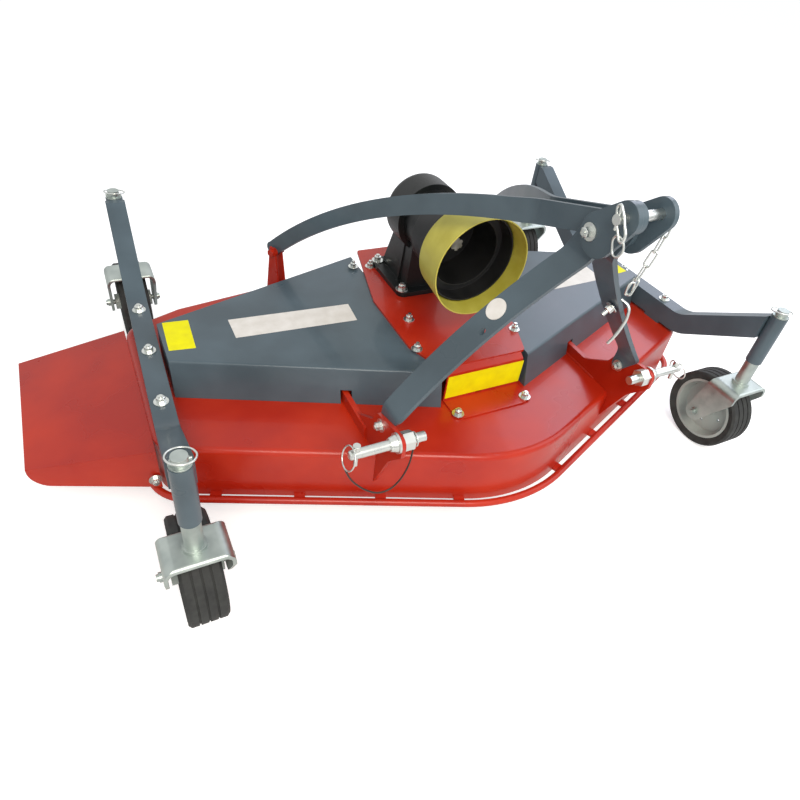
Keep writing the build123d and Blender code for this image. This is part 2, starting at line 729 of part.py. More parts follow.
def make_lanyard_eye():
    """Wire eye that hangs on the threaded end, with the ferrule that grips the lanyard."""
    inner = lanyard_eye_radius - lanyard_eye_wire / 2
    hang = inner - lower_thread / 2 - seat_gap
    ring = Rot(0, 90, 0) * Torus(lanyard_eye_radius, lanyard_eye_wire / 2)
    eye = Pos(lanyard_eye_x, 0, lower_pin_height - hang) * ring
    end = lanyard_route[-1][1]
    return eye + upright(lanyard_ferrule[0], lanyard_eye_x, 0, end, end + lanyard_ferrule[1])


def make_lanyard():
    """Limp cord in the plane of the lower pin, with a bend at each inner point of its route."""
    runs = [math.dist(a, b) for a, b in zip(lanyard_route, lanyard_route[1:])]
    headings = [math.atan2(b[1] - a[1], b[0] - a[0]) for a, b in zip(lanyard_route, lanyard_route[1:])]
    radii = []
    for i in range(len(runs) - 1):
        turn = abs((headings[i + 1] - headings[i] + math.pi) % (2 * math.pi) - math.pi)
        radii.append(0.45 * min(runs[i], runs[i + 1]) / math.tan(turn / 2))
    path = Plane.XZ * FilletPolyline(*lanyard_route, radius=radii)
    tube = sweep(Plane(origin=path @ 0, z_dir=path % 0) * Circle(lanyard / 2), path=path)
    section = math.pi * lanyard ** 2 / 4
    print("lanyard radii", [round(r, 1) for r in radii], "length", round(path.length, 1),
          "volume", round(tube.volume, 1), "section x length", round(section * path.length, 1))
    return tube


def make_arch_post():
    """Right-hand clevis on the deck that carries the foot of the arch on its bolt."""
    z = arch_foot[1]
    foot = deck_top - z
    half = clevis_width / 2
    inner = half - clevis_sheet
    cheek = make_face(Polyline(
        (-clevis_foot_half, foot), (-clevis_head_half, clevis_rise), (clevis_head_half, clevis_rise),
        (clevis_foot_half, foot), close=True))
    clevis = across(cheek, -half, clevis_width)
    clevis -= Pos(0, 0, foot + clevis_sheet + through / 2) * Box(2 * inner, through, through)
    clevis += crosswise(clevis_spacer / 2, 0, 0, -half, -arch_thickness / 2)
    clevis += crosswise(clevis_spacer / 2, 0, 0, arch_thickness / 2, half)
    clevis += crosswise(clevis_bolt / 2, 0, 0, -half, half)
    head_radius, head_length = clevis_bolt_head
    for side in (-1, 1):
        head = extrude(RegularPolygon(head_radius, 6), head_length)
        clevis += Pos(side * half, 0, 0) * Rot(0, side * 90, 0) * head
    return place_foot(clevis)


def make_housing(x, y):
    top = deck_top - deck_wall
    part = upright(housing_flange[0] / 2, x, y, top - housing_flange[1], top)
    part += upright(housing_barrel / 2, x, y, housing_bottom, top)
    bore = blade_shaft / 2 + running_clearance
    return part - upright(bore, x, y, housing_bottom - 1, top - shaft_bore_roof)


def make_blade(x, y, turn):
    top = deck_top - deck_wall
    bar = Pos(0, 0, blade_top - blade_thickness / 2) * Box(2 * blade_radius, blade_width, blade_thickness)
    bar &= upright(blade_radius, 0, 0, 0, deck_top)
    for side in (-1, 1):
        long, wide, lift = blade_wing
        wing = Pos(side * (blade_radius - long / 2 - 8), side * (blade_width / 2 + wide / 2 - 6), 0) * Pos(
            0, 0, blade_top - blade_thickness / 2 + wide / 2 * math.sin(math.radians(lift))) * Rot(
            side * lift, 0, 0) * Box(long, wide, blade_thickness - 1)
        bar += wing & upright(blade_radius, 0, 0, 0, deck_top)
    bar += upright(blade_hub[0] / 2, 0, 0, blade_top, blade_top + blade_hub[1])
    bar += upright(blade_shaft / 2, 0, 0, blade_top, top - shaft_bore_roof - seat_gap)
    bar += upright(blade_nut[0], 0, 0, blade_top - blade_thickness - blade_nut[1], blade_top)
    return Pos(x, y, 0) * Rot(0, 0, turn) * bar


def build_all():
    deck_solid, deck = make_deck()
    cover = make_cover()
    beam = make_beam()
    leg = make_leg()
    arch = make_arch()
    mast_plate = make_mast_plate()
    lower = make_lower_pin()
    linch = make_linch()
    hitch_plate = make_hitch_plate(deck_solid)
    post = make_arch_post()
    nodes = {
        "deck": deck,
        "deck_rim": make_rim(),
        "chute": make_chute(),
        "cover_right": cover,
        "cover_left": mirrored(cover),
        "centre_plate": make_centre_plate(),
        "gearbox": make_gearbox(),
        "pto_guard": make_guard(),
        "guard_inner": make_inner_guard(),
        "pto_shaft": make_pto_shaft(),
        "beam_right": beam,
        "beam_left": mirrored(beam),
        "hitch_leg_right": leg,
        "hitch_leg_left": mirrored(leg),
        "hitch_arch_right": arch,
        "hitch_arch_left": mirrored(arch),
        "mast_plate_right": mast_plate,
        "mast_plate_left": mirrored(mast_plate) + make_mast_boss(),
        "top_pin": make_top_pin(),
        "hitch_plate_right": hitch_plate,
        "hitch_plate_left": mirrored(hitch_plate),
        "lower_pin_right": lower,
        "lower_pin_left": mirrored(Compound(lower.solids() + make_lanyard_eye().solids())),
        "linch_pin_right": linch,
        "linch_pin_left": mirrored(linch),
        "lanyard_left": mirrored(make_lanyard()),
        "arch_post_right": post,
        "arch_post_left": mirrored(post),
    }
    spindles = {
        "left": (-side_spindle[0], side_spindle[1], 20.0),
        "centre": (0.0, centre_spindle_y, 65.0),
        "right": (side_spindle[0], side_spindle[1], 110.0)}
    housings = []
    for name, (x, y, turn) in spindles.items():
        housings.append(make_housing(x, y))
        nodes["blade_" + name] = make_blade(x, y, turn)
    nodes["spindle_housings"] = Compound(housings)
    fork = make_fork()
    rim = make_rim_wheel()
    tyre = make_tyre()
    places = {
        "front_left": (-front_post[0], front_post[1]), "front_right": front_post,
        "rear_left": (-rear_post[0], rear_post[1]), "rear_right": rear_post}
    for name, (x, y) in places.items():
        at = Pos(x, y, 0)
        wheel_at = Pos(x, y + caster_trail, wheel_radius)
        nodes["fork_" + name] = at * fork
        nodes["rim_" + name] = wheel_at * rim
        nodes["tyre_" + name] = wheel_at * tyre
    return nodes


nodes = build_all()
boxes = [part.bounding_box() for part in nodes.values()]
low = [min(getattr(box.min, axis) for box in boxes) for axis in "XYZ"]
high = [max(getattr(box.max, axis) for box in boxes) for axis in "XYZ"]
shift = Pos(-(low[0] + high[0]) / 2, -(low[1] + high[1]) / 2, -low[2])
print("shift", [round(v, 3) for v in shift.position], "low", low, "high", high)
os.makedirs("parts", exist_ok=True)
for name, part in nodes.items():
    solids = part.solids()
    print(name, len(solids), round(part.volume / 1000), part.is_valid)
    piece = solids[0] if len(solids) == 1 else Compound(solids)
    export_step(shift * piece, "parts/" + name + ".step")
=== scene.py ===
import math

import bmesh
import bpy
from mathutils import Matrix, Vector


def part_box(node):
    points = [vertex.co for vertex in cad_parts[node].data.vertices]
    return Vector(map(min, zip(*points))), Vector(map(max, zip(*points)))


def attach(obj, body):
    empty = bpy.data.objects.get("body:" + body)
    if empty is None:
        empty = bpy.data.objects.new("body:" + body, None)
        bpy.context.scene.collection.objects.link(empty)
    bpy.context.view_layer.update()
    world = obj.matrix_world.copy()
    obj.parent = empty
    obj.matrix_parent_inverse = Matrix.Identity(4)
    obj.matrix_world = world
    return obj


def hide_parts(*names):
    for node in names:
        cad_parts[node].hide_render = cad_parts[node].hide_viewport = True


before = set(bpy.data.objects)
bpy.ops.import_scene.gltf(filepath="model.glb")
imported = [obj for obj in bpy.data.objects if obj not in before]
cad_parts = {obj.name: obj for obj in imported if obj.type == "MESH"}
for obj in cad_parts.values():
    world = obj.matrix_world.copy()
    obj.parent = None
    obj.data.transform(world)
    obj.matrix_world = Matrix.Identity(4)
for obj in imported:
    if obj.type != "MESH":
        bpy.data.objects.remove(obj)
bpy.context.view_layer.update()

bpy.context.scene.view_settings.view_transform = "Standard"
MM = 0.001

# Places of the CAD model in its drawing frame, in mm: x across from the middle,
# y back from the lower hitch pins, z up from the floor. All points below are in it.
TOP_PIN_Y = -99.0
DECK_TOP = 257.0
APRON_FOOT_TOP = 261.0
COVER_TOP = 352.0
PLATE_TOP = 358.0
FLANGE_TOP = 372.0
PTO_HEIGHT = 566.0
BEAM_TOP = 325.0
POST_RING_HEIGHT = 495.0
FRONT_POST = (774.8, -8.0)
REAR_POST = (746.0, 1054.0)
CASTERS = {
    "front_left": (-FRONT_POST[0], FRONT_POST[1]), "front_right": FRONT_POST,
    "rear_left": (-REAR_POST[0], REAR_POST[1]), "rear_right": REAR_POST}

deck_low, deck_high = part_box("deck")
pin_low, pin_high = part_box("top_pin")
ORIGIN = Vector((
    (deck_low.x + deck_high.x) / 2,
    (pin_low.y + pin_high.y) / 2 - TOP_PIN_Y * MM,
    0.0))


def at(x, y, z):
    """A point of the drawing frame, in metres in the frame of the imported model."""
    return ORIGIN + Vector((x, y, z)) * MM


# Camera at the place that was fitted to the photograph

PHOTO_WIDTH = 800.0
FOCAL_PIXELS = 621.98
PHOTO_CENTRE = (405.30, 394.64)
CAMERA_PLACE = (-830.6, -776.5, 1292.26)
CAMERA_TURN = -0.553862
CAMERA_DIP = 0.707353
CAMERA_ROLL = 0.150769
SENSOR = 36.0
FAR_CLIP = 100.0


def make_camera():
    turn, dip, roll = CAMERA_TURN, CAMERA_DIP, CAMERA_ROLL
    ahead = Vector((-math.sin(turn) * math.cos(dip), math.cos(turn) * math.cos(dip),
                    -math.sin(dip)))
    right = Vector((math.cos(turn), math.sin(turn), 0.0))
    down = ahead.cross(right)
    across = right * math.cos(roll) - down * math.sin(roll)
    below = right * math.sin(roll) + down * math.cos(roll)
    data = bpy.data.cameras.new("photo_camera")
    data.sensor_width = SENSOR
    data.lens = FOCAL_PIXELS / PHOTO_WIDTH * SENSOR
    data.shift_x = (PHOTO_WIDTH / 2 - PHOTO_CENTRE[0]) / PHOTO_WIDTH
    data.shift_y = (PHOTO_CENTRE[1] - PHOTO_WIDTH / 2) / PHOTO_WIDTH
    data.clip_end = FAR_CLIP
    camera = bpy.data.objects.new("photo_camera", data)
    bpy.context.scene.collection.objects.link(camera)
    turned = Matrix((across, -below, -ahead)).transposed().to_4x4()
    camera.matrix_world = Matrix.Translation(at(*CAMERA_PLACE)) @ turned
    bpy.context.scene.camera = camera


# Materials

NOISE_RANGE = (0.3, 0.7)


def linear(code):
    """An sRGB hex colour as linear RGBA."""
    parts = [int(code[i:i + 2], 16) / 255 for i in (0, 2, 4)]
    return tuple(c / 12.92 if c <= 0.04045 else ((c + 0.055) / 1.055) ** 2.4 for c in parts) + (1.0,)


def add(tree, kind, settings=None, **inputs):
    """Adds a node with its settings. An input takes a value or another node's socket,
    and is named by its label, with _ for each space, or as _0, _1 by its number."""
    node = tree.nodes.new(kind)
    for key, value in (settings or {}).items():
        setattr(node, key, value)
    for key, value in inputs.items():
        name = int(key[1:]) if key[0] == "_" else key.replace("_", " ")
        socket = node.inputs[name]
        if isinstance(value, bpy.types.NodeSocket):
            tree.links.new(value, socket)
        else:
            socket.default_value = value
    return node


def new_material(name):
    material = bpy.data.materials.new(name)
    material.use_nodes = True
    material.node_tree.nodes.clear()
    return material, material.node_tree


def speckle(tree, grain_mm, detail=2.0, stretch=(1.0, 1.0, 1.0)):
    """Noise on Object coordinates whose grains are about grain_mm across."""
    spot = add(tree, "ShaderNodeTexCoord").outputs["Object"]
    scaled = add(tree, "ShaderNodeMapping", Vector=spot, Scale=stretch).outputs["Vector"]
    noise = add(tree, "ShaderNodeTexNoise", Vector=scaled, Scale=1.0 / (grain_mm * MM), Detail=detail)
    return noise.outputs["Fac"]


def finish(tree, tones, tone_noise, tone_span, rough, rough_noise, relief, relief_mm, edge_mm,
           **settings):
    """Two tones blended by one noise, roughness spread by another, a fine relief over
    softened edges, and the shader with its own settings."""
    colour = add(tree, "ShaderNodeValToRGB", Fac=tone_noise)
    for stop, spot, code in zip(colour.color_ramp.elements, tone_span, tones):
        stop.position = spot
        stop.color = linear(code)
    spread = add(tree, "ShaderNodeMapRange", _0=rough_noise, _1=NOISE_RANGE[0], _2=NOISE_RANGE[1],
                 _3=rough[0], _4=rough[1])
    edge = add(tree, "ShaderNodeBevel", {"samples": 4}, Radius=edge_mm * MM)
    bump = add(tree, "ShaderNodeBump", Height=relief, Distance=relief_mm * MM, Strength=1.0,
               Normal=edge.outputs["Normal"])
    shader = add(tree, "ShaderNodeBsdfPrincipled", Base_Color=colour.outputs["Color"],
                 Roughness=spread.outputs[0], Normal=bump.outputs["Normal"], **settings)
    add(tree, "ShaderNodeOutputMaterial", Surface=shader.outputs["BSDF"])


def powder_coat(name, deep, pale, rough, coat):
    """Baked polyester powder on pressed steel: the skin flows out glossy with a faint
    orange peel, and handling leaves broad, slightly duller patches."""
    material, tree = new_material(name)
    patches = speckle(tree, grain_mm=180.0, detail=3.0)
    finish(tree, tones=(deep, pale), tone_noise=patches, tone_span=(0.35, 0.68),
           rough=(rough * 0.8, rough * 1.3), rough_noise=patches,
           relief=speckle(tree, grain_mm=3.5), relief_mm=0.05, edge_mm=1.4,
           Coat_Weight=coat, Coat_Roughness=0.08, Specular_IOR_Level=0.3)
    return material


def zinc_plate(name, deep, pale, rough):
    """Electroplated zinc over rolled steel: a soft grey metal in cloudy patches. The
    rolling marks are finer than the render shows, and are drawn coarser, at 0.8 mm."""
    material, tree = new_material(name)
    cloud = speckle(tree, grain_mm=40.0)
    finish(tree, tones=(deep, pale), tone_noise=cloud, tone_span=(0.32, 0.7),
           rough=(rough * 0.8, rough * 1.25), rough_noise=cloud,
           relief=speckle(tree, grain_mm=0.8), relief_mm=0.02, edge_mm=0.8, Metallic=1.0)
    return material


def moulded(name, deep, pale, rough):
    """Injection moulded polyethylene: waxy and even, with a spark-eroded grain that is
    drawn coarser than the real one, at 1.6 mm, so that it shows."""
    material, tree = new_material(name)
    patches = speckle(tree, grain_mm=60.0, detail=3.0)
    finish(tree, tones=(deep, pale), tone_noise=patches, tone_span=(0.3, 0.7),
           rough=(rough * 0.85, rough * 1.2), rough_noise=patches,
           relief=speckle(tree, grain_mm=1.6), relief_mm=0.06, edge_mm=1.2)
    return material


def cast_enamel(name, deep, pale):
    """Black enamel on sand-cast iron: semi-gloss over the pebbled skin that the sand
    leaves, drawn coarser than the real grit, at 3 mm, so that it shows."""
    material, tree = new_material(name)
    patches = speckle(tree, grain_mm=70.0, detail=3.0)
    sand = speckle(tree, grain_mm=3.0, detail=3.0)
    finish(tree, tones=(deep, pale), tone_noise=patches, tone_span=(0.35, 0.7),
           rough=(0.34, 0.5), rough_noise=sand, relief=sand, relief_mm=0.15, edge_mm=2.0,
           Coat_Weight=0.15, Coat_Roughness=0.3, Specular_IOR_Level=0.3)
    return material


def machined(name, deep, pale):
    """Turned and milled steel: bright, with tool lines that are drawn coarser than the
    real ones, at 1.2 mm, so that they show."""
    material, tree = new_material(name)
    lines = speckle(tree, grain_mm=1.2, stretch=(1.0, 12.0, 1.0))
    finish(tree, tones=(deep, pale), tone_noise=speckle(tree, grain_mm=25.0, detail=3.0),
           tone_span=(0.35, 0.7), rough=(0.28, 0.42), rough_noise=lines,
           relief=lines, relief_mm=0.02, edge_mm=0.6, Metallic=1.0)
    return material


def rubber(name, deep, pale):
    """Moulded solid tyre rubber: matt, greying where it has rolled in dust. Its pores are
    drawn coarser than the real ones, at 1.5 mm."""
    material, tree = new_material(name)
    dust = speckle(tree, grain_mm=22.0, detail=5.0)
    finish(tree, tones=(deep, pale), tone_noise=dust, tone_span=(0.35, 0.72),
           rough=(0.62, 0.85), rough_noise=dust,
           relief=speckle(tree, grain_mm=1.5), relief_mm=0.1, edge_mm=1.5)
    return material


def vinyl(name, faded, fresh):
    """Cast vinyl film, rolled on: even with a soft gloss, a little faded in patches."""
    material, tree = new_material(name)
    patches = speckle(tree, grain_mm=30.0)
    finish(tree, tones=(faded, fresh), tone_noise=patches, tone_span=(0.3, 0.7),
           rough=(0.4, 0.52), rough_noise=patches,
           relief=speckle(tree, grain_mm=6.0), relief_mm=0.02, edge_mm=0.3,
           Specular_IOR_Level=0.2)
    return material


RED = powder_coat("red_powder_coat", "aa1f0d", "bf2f14", rough=0.3, coat=0.18)
GREY = powder_coat("anthracite_powder_coat", "45535b", "54646d", rough=0.34, coat=0.2)
BLACK = cast_enamel("black_enamel_on_cast_iron", "0c0f0f", "171b1b")
YELLOW = moulded("yellow_moulded_polyethylene", "b6ac3c", "c9c155", rough=0.42)
BLACK_PLASTIC = moulded("black_moulded_polyethylene", "101112", "1b1c1d", rough=0.5)
ZINC = zinc_plate("zinc_plated_steel", "cdd1cd", "d9dcd8", rough=0.3)
FORK_ZINC = zinc_plate("zinc_plated_pressed_steel", "a5aeaa", "bfc7c2", rough=0.42)
STEEL = machined("machined_steel", "74736f", "9a9994")
RUBBER = rubber("solid_tyre_rubber", "1c1d1d", "3a3c3a")
RIM_PAINT = powder_coat("pale_grey_powder_coat", "a3aca8", "b3bbb6", rough=0.4, coat=0.15)
CABLE = moulded("black_sleeve_on_steel_cable", "1d1712", "2e251c", rough=0.45)
WHITE_VINYL = vinyl("white_vinyl_label", "e1ddd6", "eeebe6")
YELLOW_VINYL = vinyl("yellow_vinyl_label", "eae20c", "f7f106")
BLADE_PAINT = powder_coat("dark_blade_paint", "1b1c1d", "262728", rough=0.4, coat=0.1)

# A CAD node takes the material of the first entry that its name starts with
NODE_MATERIALS = (
    ("deck", RED), ("chute", RED), ("centre_plate", RED), ("arch_post", RED),
    ("hitch_plate", RED), ("spindle_housings", RED),
    ("cover", GREY), ("beam", GREY), ("hitch_leg", GREY), ("hitch_arch", GREY),
    ("mast_plate", GREY),
    ("gearbox", BLACK), ("pto_guard", YELLOW), ("guard_inner", BLACK_PLASTIC),
    ("pto_shaft", STEEL), ("top_pin", ZINC), ("lower_pin", ZINC), ("linch_pin", ZINC),
    ("fork", FORK_ZINC), ("rim_", RIM_PAINT), ("tyre", RUBBER), ("blade", BLADE_PAINT),
    ("lanyard", CABLE))

for node_name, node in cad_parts.items():
    node.data.materials.clear()
    node.data.materials.append(
        next(material for start, material in NODE_MATERIALS if node_name.startswith(start)))


# How pieces are placed

def stand(name, data):
    """A new object at the origin that shows data."""
    piece = bpy.data.objects.new(name, data)
    bpy.context.scene.collection.objects.link(piece)
    return piece


def place(name, mesh, body, material=None):
    """A finished piece that rides on a body. A mesh out of a tree has its material."""
    mesh.name = name
    piece = stand(name, mesh)
    if material:
        mesh.materials.clear()
        mesh.materials.append(material)
    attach(piece, body)
    return piece


def point_source(rows):
    """Loose points with an aim and a size for each. Rows: place in metres, aim, size in mm."""
    mesh = bpy.data.meshes.new("points")
    mesh.from_pydata([tuple(spot) for spot, _, _ in rows], [], [])
    mesh.attributes.new("aim", "FLOAT_VECTOR", "POINT")
    mesh.attributes.new("size", "FLOAT", "POINT")
    for i, (_, direction, across) in enumerate(rows):
        mesh.attributes["aim"].data[i].vector = Vector(direction).normalized()
        mesh.attributes["size"].data[i].value = across * MM
    return stand("points", mesh)


def curve_source(points, closed=False):
    """A smooth curve through a few points of the drawing frame."""
    data = bpy.data.curves.new("path", "CURVE")
    data.dimensions = "3D"
    data.resolution_u = 10
    spline = data.splines.new("BEZIER")
    spline.bezier_points.add(len(points) - 1)
    for spot, point in zip(spline.bezier_points, points):
        spot.co = at(*point)
        spot.handle_left_type = spot.handle_right_type = "AUTO"
    spline.use_cyclic_u = closed
    return stand("path", data)


def ring_points(centre, normal, radius, count):
    """Points around a circle that faces along normal."""
    turned = Vector(normal).to_track_quat("Z", "Y")
    angles = [2 * math.pi * i / count for i in range(count)]
    return [Vector(centre) + turned @ Vector((radius * math.cos(a), radius * math.sin(a), 0.0))
            for a in angles]


# Geometry Nodes trees

def new_tree(name, inputs):
    """An empty tree with a Geometry socket each way and the named inputs."""
    tree = bpy.data.node_groups.new(name, "GeometryNodeTree")
    tree.interface.new_socket("Geometry", in_out="INPUT", socket_type="NodeSocketGeometry")
    for label_text, kind, value in inputs:
        socket = tree.interface.new_socket(label_text, in_out="INPUT", socket_type=kind)
        if value is not None:
            socket.default_value = value
    tree.interface.new_socket("Geometry", in_out="OUTPUT", socket_type="NodeSocketGeometry")
    return tree, add(tree, "NodeGroupInput").outputs


def close_tree(tree, geometry, material):
    """Makes the instances real, gives them their material and ends the tree."""
    real = add(tree, "GeometryNodeRealizeInstances", Geometry=geometry).outputs["Geometry"]
    done = add(tree, "GeometryNodeSetMaterial", Geometry=real, Material=material)
    add(tree, "NodeGroupOutput", Geometry=done.outputs["Geometry"])
    return tree


def run_tree(name, source, tree, values, body, smooth=False):
    """Evaluates a tree on a source object and keeps the result as a plain mesh on one body."""
    modifier = source.modifiers.new("make", "NODES")
    modifier.node_group = tree
    for item in tree.interface.items_tree:
        if item.in_out == "INPUT" and item.name in values:
            modifier[item.identifier] = values[item.name]
    bpy.context.view_layer.update()
    graph = bpy.context.evaluated_depsgraph_get()
    mesh = bpy.data.meshes.new_from_object(source.evaluated_get(graph))
    bpy.data.objects.remove(source)
    if smooth:
        mesh.shade_smooth()
    return place(name, mesh, body)


def on_points(tree, given, part, axis, quarter_turns=False):
    """Puts the part on each point, its axis along the point's aim, at the point's size.
    With quarter_turns each is turned a quarter about X from the one before, as links are."""
    points = add(tree, "GeometryNodeMeshToPoints", Mesh=given["Geometry"]).outputs[0]
    aim = add(tree, "GeometryNodeInputNamedAttribute", {"data_type": "FLOAT_VECTOR"}, Name="aim")
    size = add(tree, "GeometryNodeInputNamedAttribute", {"data_type": "FLOAT"}, Name="size")
    turn = add(tree, "FunctionNodeAlignRotationToVector", {"axis": axis},
               Vector=aim.outputs[0]).outputs[0]
    if quarter_turns:
        count = add(tree, "GeometryNodeInputIndex").outputs[0]
        angle = add(tree, "ShaderNodeMath", {"operation": "MULTIPLY"}, _0=count, _1=math.pi / 2)
        roll = add(tree, "ShaderNodeCombineXYZ", X=angle.outputs[0])
        roll = add(tree, "FunctionNodeEulerToRotation", _0=roll.outputs[0])
        turn = add(tree, "FunctionNodeRotateRotation", {"rotation_space": "LOCAL"}, _0=turn,
                   _1=roll.outputs[0]).outputs[0]
    return add(tree, "GeometryNodeInstanceOnPoints", Points=points, Instance=part, Rotation=turn,
               Scale=size.outputs[0]).outputs[0]


# Shares of the width across the flats
WASHER_RADIUS = 0.92
WASHER_THICKNESS = 0.14
HEAD_RADIUS = 0.577
HEAD_HEIGHT = 0.62
CAP_RADII = (0.5, 0.4)
CAP_HEIGHT = 0.07
STUD_RADIUS = 0.29


def bolt_tree():
    """Hexagon screw on each point, one unit across the flats: washer, head with a turned
    cap, and the end of the thread."""
    tree, given = new_tree("hexagon_bolts", [
        ("Head height", "NodeSocketFloat", HEAD_HEIGHT), ("Stud", "NodeSocketFloat", 0.0),
        ("Material", "NodeSocketMaterial", None)])
    head_height, stud_height = given["Head height"], given["Stud"]
    washer = add(tree, "GeometryNodeMeshCylinder", Vertices=28, Radius=WASHER_RADIUS,
                 Depth=WASHER_THICKNESS)
    head = add(tree, "GeometryNodeMeshCylinder", Vertices=6, Radius=HEAD_RADIUS, Depth=head_height)
    cap = add(tree, "GeometryNodeMeshCone", Vertices=24, Radius_Bottom=CAP_RADII[0],
              Radius_Top=CAP_RADII[1], Depth=CAP_HEIGHT)
    stud = add(tree, "GeometryNodeMeshCylinder", Vertices=16, Radius=STUD_RADIUS, Depth=stud_height)
    head_middle = add(tree, "ShaderNodeMath", {"operation": "MULTIPLY_ADD"}, _0=head_height,
                      _1=0.5, _2=WASHER_THICKNESS).outputs[0]
    head_top = add(tree, "ShaderNodeMath", {"operation": "ADD"}, _0=head_height,
                   _1=WASHER_THICKNESS).outputs[0]
    stud_middle = add(tree, "ShaderNodeMath", {"operation": "MULTIPLY_ADD"}, _0=stud_height,
                      _1=0.5, _2=head_top).outputs[0]
    bolt = add(tree, "GeometryNodeJoinGeometry")
    for part, height in ((washer, WASHER_THICKNESS / 2), (head, head_middle), (cap, head_top),
                         (stud, stud_middle)):
        lift = add(tree, "ShaderNodeCombineXYZ", Z=height).outputs[0]
        raised = add(tree, "GeometryNodeTransform", Geometry=part.outputs["Mesh"], Translation=lift)
        tree.links.new(raised.outputs[0], bolt.inputs[0])
    return close_tree(tree, on_points(tree, given, bolt.outputs[0], "Z"), given["Material"])


def wire_tree():
    """Round wire along a path, of even thickness."""
    tree, given = new_tree("round_wire", [
        ("Radius", "NodeSocketFloat", 2.0 * MM), ("Material", "NodeSocketMaterial", None)])
    ring = add(tree, "GeometryNodeCurvePrimitiveCircle", Resolution=12, Radius=1.0)
    tube = add(tree, "GeometryNodeCurveToMesh", Curve=given["Geometry"],
               Profile_Curve=ring.outputs["Curve"], Scale=given["Radius"], Fill_Caps=True)
    return close_tree(tree, tube.outputs[0], given["Material"])


# Shares of a link's pitch
LINK_LENGTH = 0.9
LINK_WIDTH = 0.3
LINK_CORNER = 0.149
LINK_WIRE = 0.045


def link_tree():
    """Long-link chain: an oval of wire on each point, turned a quarter from the one before."""
    tree, given = new_tree("chain_links", [
        ("Wire", "NodeSocketFloat", LINK_WIRE), ("Material", "NodeSocketMaterial", None)])
    block = add(tree, "GeometryNodeCurvePrimitiveQuadrilateral", Width=LINK_LENGTH,
                Height=LINK_WIDTH)
    oval = add(tree, "GeometryNodeFilletCurve", {"mode": "POLY"}, Curve=block.outputs["Curve"],
               Radius=LINK_CORNER, Count=8)
    ring = add(tree, "GeometryNodeCurvePrimitiveCircle", Resolution=10, Radius=1.0)
    link = add(tree, "GeometryNodeCurveToMesh", Curve=oval.outputs[0],
               Profile_Curve=ring.outputs["Curve"], Scale=given["Wire"])
    links = on_points(tree, given, link.outputs[0], "X", quarter_turns=True)
    return close_tree(tree, links, given["Material"])


RIPPLE_DEPTH = 0.12
STEPS_IN_A_RIPPLE = 4


def bead_tree():
    """Weld bead: a round bar along a path whose radius ripples where each drop of metal set."""
    tree, given = new_tree("weld_bead", [
        ("Radius", "NodeSocketFloat", 3.0 * MM), ("Ripple", "NodeSocketFloat", 4.0 * MM),
        ("Material", "NodeSocketMaterial", None)])
    step = add(tree, "ShaderNodeMath", {"operation": "DIVIDE"}, _0=given["Ripple"],
               _1=float(STEPS_IN_A_RIPPLE)).outputs[0]
    even = add(tree, "GeometryNodeResampleCurve", {"mode": "LENGTH"}, Curve=given["Geometry"],
               Length=step).outputs[0]
    along = add(tree, "GeometryNodeSplineParameter").outputs["Length"]
    ripples = add(tree, "ShaderNodeMath", {"operation": "DIVIDE"}, _0=along,
                  _1=given["Ripple"]).outputs[0]
    angle = add(tree, "ShaderNodeMath", {"operation": "MULTIPLY"}, _0=ripples,
                _1=2 * math.pi).outputs[0]
    wave = add(tree, "ShaderNodeMath", {"operation": "SINE"}, _0=angle).outputs[0]
    swell = add(tree, "ShaderNodeMath", {"operation": "MULTIPLY_ADD"}, _0=wave,
                _1=RIPPLE_DEPTH, _2=1.0).outputs[0]
    radius = add(tree, "ShaderNodeMath", {"operation": "MULTIPLY"}, _0=swell,
                 _1=given["Radius"]).outputs[0]
    sized = add(tree, "GeometryNodeSetCurveRadius", Curve=even, Radius=radius).outputs[0]
    ring = add(tree, "GeometryNodeCurvePrimitiveCircle", Resolution=10, Radius=1.0)
    tube = add(tree, "GeometryNodeCurveToMesh", Curve=sized, Profile_Curve=ring.outputs["Curve"],
               Scale=radius, Fill_Caps=True)
    return close_tree(tree, tube.outputs[0], given["Material"])


BOLTS = bolt_tree()
WIRE = wire_tree()
LINKS = link_tree()
BEAD = bead_tree()


def bolts(name, rows, stud):
    """Rows: x, y, z, aim, size across the flats. The stud is a share of that size."""
    source = point_source([(at(x, y, z), aim, size) for x, y, z, aim, size in rows])
    values = {"Head height": HEAD_HEIGHT, "Stud": stud, "Material": ZINC}
    return run_tree(name, source, BOLTS, values, "frame")


def wire(name, points, radius, closed=False, body="frame"):
    values = {"Radius": radius * MM, "Material": ZINC}
    return run_tree(name, curve_source(points, closed), WIRE, values, body, smooth=True)


def chain(name, points, pitch):
    """Links between given points, one link to a run."""
    ends = [at(*point) for point in points]
    rows = [((start + end) / 2, end - start, pitch) for start, end in zip(ends, ends[1:])]
    values = {"Wire": LINK_WIRE, "Material": ZINC}
    return run_tree(name, point_source(rows), LINKS, values, "frame", smooth=True)


make_camera()

# Lanyard from the left linch pin to the threaded end: x and z of its route's points
LANYARD = (
    (467.4, 345.3), (457.0, 313.0), (436.0, 280.0), (411.0, 252.0), (382.0, 230.0),
    (350.0, 232.0), (328.0, 258.0), (316.0, 290.0), (311.0, 322.0), (311.0, 349.0))
LANYARD_DIAMETER = 0.004


